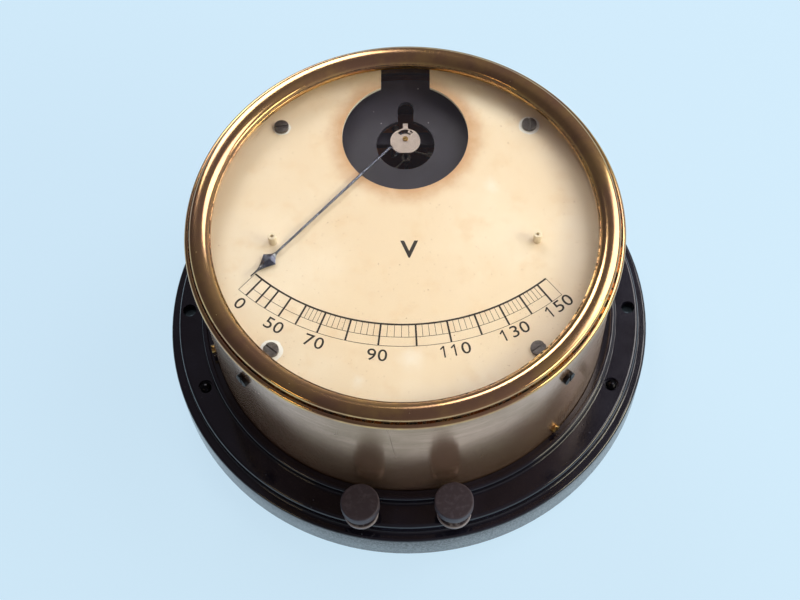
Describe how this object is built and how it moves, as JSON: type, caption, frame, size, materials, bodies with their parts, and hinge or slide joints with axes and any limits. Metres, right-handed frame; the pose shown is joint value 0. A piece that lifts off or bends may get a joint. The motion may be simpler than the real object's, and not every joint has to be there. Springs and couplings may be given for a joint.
{
  "type": "panel voltmeter",
  "caption": "Round switchboard voltmeter: brass bezel and glass over a cream dial with a sweeping arrow pointer, on a flanged black base with terminals.",
  "frame": {"origin": "centre of the back face of the base", "axes": "+Z out of the dial, -Y towards the two terminals, +X to the dial's right"},
  "size_m": [0.2388, 0.2388, 0.1111],
  "materials": {
    "black_enamel": "glossy black enamel",
    "back_steel": "dull dark lacquer",
    "blackened_steel": "oil blackened",
    "nickelled_sheet": "worn nickel plate",
    "bezel_brass": "lacquered and polished",
    "plain_brass": "satin",
    "clear_glass": "clear",
    "gasket_card": "matt",
    "dial_enamel": "aged cream enamel",
    "scale_ink": "printed dark brown ink",
    "cream_pins": "cream enamel",
    "movement_black": "satin black lacquer",
    "inner_steel": "plain",
    "pointer_paint": "dark painted",
    "thin_aluminium": "satin",
    "nickel": "nickel plated",
    "spring_bronze": "blued",
    "bobbin_fibre": "vulcanised fibre",
    "copper_wire": "lacquered copper wire",
    "spool_ceramic": "unglazed",
    "resistance_wire": "silk covered wire",
    "ebonite": "polished hard rubber",
    "lead_cloth": "cotton covered"
  },
  "bodies": {
    "case": {"base_casting": "black_enamel", "back_plate": "back_steel", "cover_screws": "blackened_steel", "case_drum": "nickelled_sheet", "drum_foot_screws": "plain_brass", "bezel": "bezel_brass", "bezel_screws": "blackened_steel", "cover_glass": "clear_glass", "glass_gasket": "gasket_card", "glass_retainer": "plain_brass", "dial_plate": "dial_enamel", "scale_marks": "scale_ink", "dial_screws": "blackened_steel", "dial_spacers": "plain_brass", "stop_pins": "cream_pins", "movement_plate": "movement_black", "case_pillars": "plain_brass", "pillar_screws": "inner_steel", "frame_posts": "plain_brass", "frame_screws": "inner_steel", "lower_bridge": "plain_brass", "coil_bobbin": "bobbin_fibre", "coil_winding": "copper_wire", "coil_screws": "inner_steel", "fixed_iron": "inner_steel", "upper_crossbar": "movement_black", "crossbar_posts": "plain_brass", "crossbar_screws": "inner_steel", "bearing_plate": "nickel", "bearing_plate_screw": "plain_brass", "upper_bearing_screw": "plain_brass", "lower_bearing_screw": "plain_brass", "bearing_locknut": "plain_brass", "damping_chamber": "plain_brass", "damping_lid": "plain_brass", "resistor_spools": "spool_ceramic", "resistor_windings": "resistance_wire", "resistor_rods": "inner_steel", "resistor_nuts": "plain_brass", "terminal_bushes": "ebonite", "inner_bushes": "ebonite", "terminal_studs": "nickel", "stud_washers": "nickel", "stud_nuts": "plain_brass", "lead_wires": "lead_cloth"},
    "pointer_movement": {"spindle": "inner_steel", "moving_iron": "inner_steel", "pointer_hub": "plain_brass", "pointer": "pointer_paint", "balance_arms": "inner_steel", "balance_weights": "plain_brass", "spring_collet": "plain_brass", "hairspring": "spring_bronze", "damping_vane": "thin_aluminium"},
    "zero_adjuster": {"zero_lever": "nickel"},
    "left_washer": {"left_clamp_washer": "nickel"},
    "left_terminal_knob": {"left_knob": "ebonite"},
    "right_washer": {"right_clamp_washer": "nickel"},
    "right_terminal_knob": {"right_knob": "ebonite"}
  },
  "joints": [
    {"name": "pointer_swing", "type": "hinge", "parent": "case", "child": "pointer_movement", "pos_m": [0, 0.0538, 0.09], "axis": [0, 0, 1], "range_deg": [-2.2, 87], "stiffness_Nm_per_rad": 0.0001, "deforming": ["hairspring"]},
    {"name": "zero_adjust", "type": "hinge", "parent": "case", "child": "zero_adjuster", "pos_m": [0, 0.0538, 0.0926], "axis": [0, 0, 1], "range_deg": [-10, 10]},
    {"name": "left_washer_lift", "type": "slide", "parent": "case", "child": "left_washer", "axis": [0, 0, 1], "range_m": [0, 0.004]},
    {"name": "left_knob_turn", "type": "hinge", "parent": "left_washer", "child": "left_terminal_knob", "pos_m": [-0.02168, -0.10754, 0.03], "axis": [0, 0, 1], "range_deg": [0, 1800]},
    {"name": "right_washer_lift", "type": "slide", "parent": "case", "child": "right_washer", "axis": [0, 0, 1], "range_m": [-0.0015, 0.0025]},
    {"name": "right_knob_turn", "type": "hinge", "parent": "right_washer", "child": "right_terminal_knob", "pos_m": [0.02168, -0.10754, 0.03], "axis": [0, 0, 1], "range_deg": [-675, 1125]}
  ],
  "couplings": [
    {"joint": "left_knob_turn", "follows": "left_washer_lift", "rad_per_m": 7854},
    {"joint": "right_knob_turn", "follows": "right_washer_lift", "rad_per_m": 7854}
  ]
}
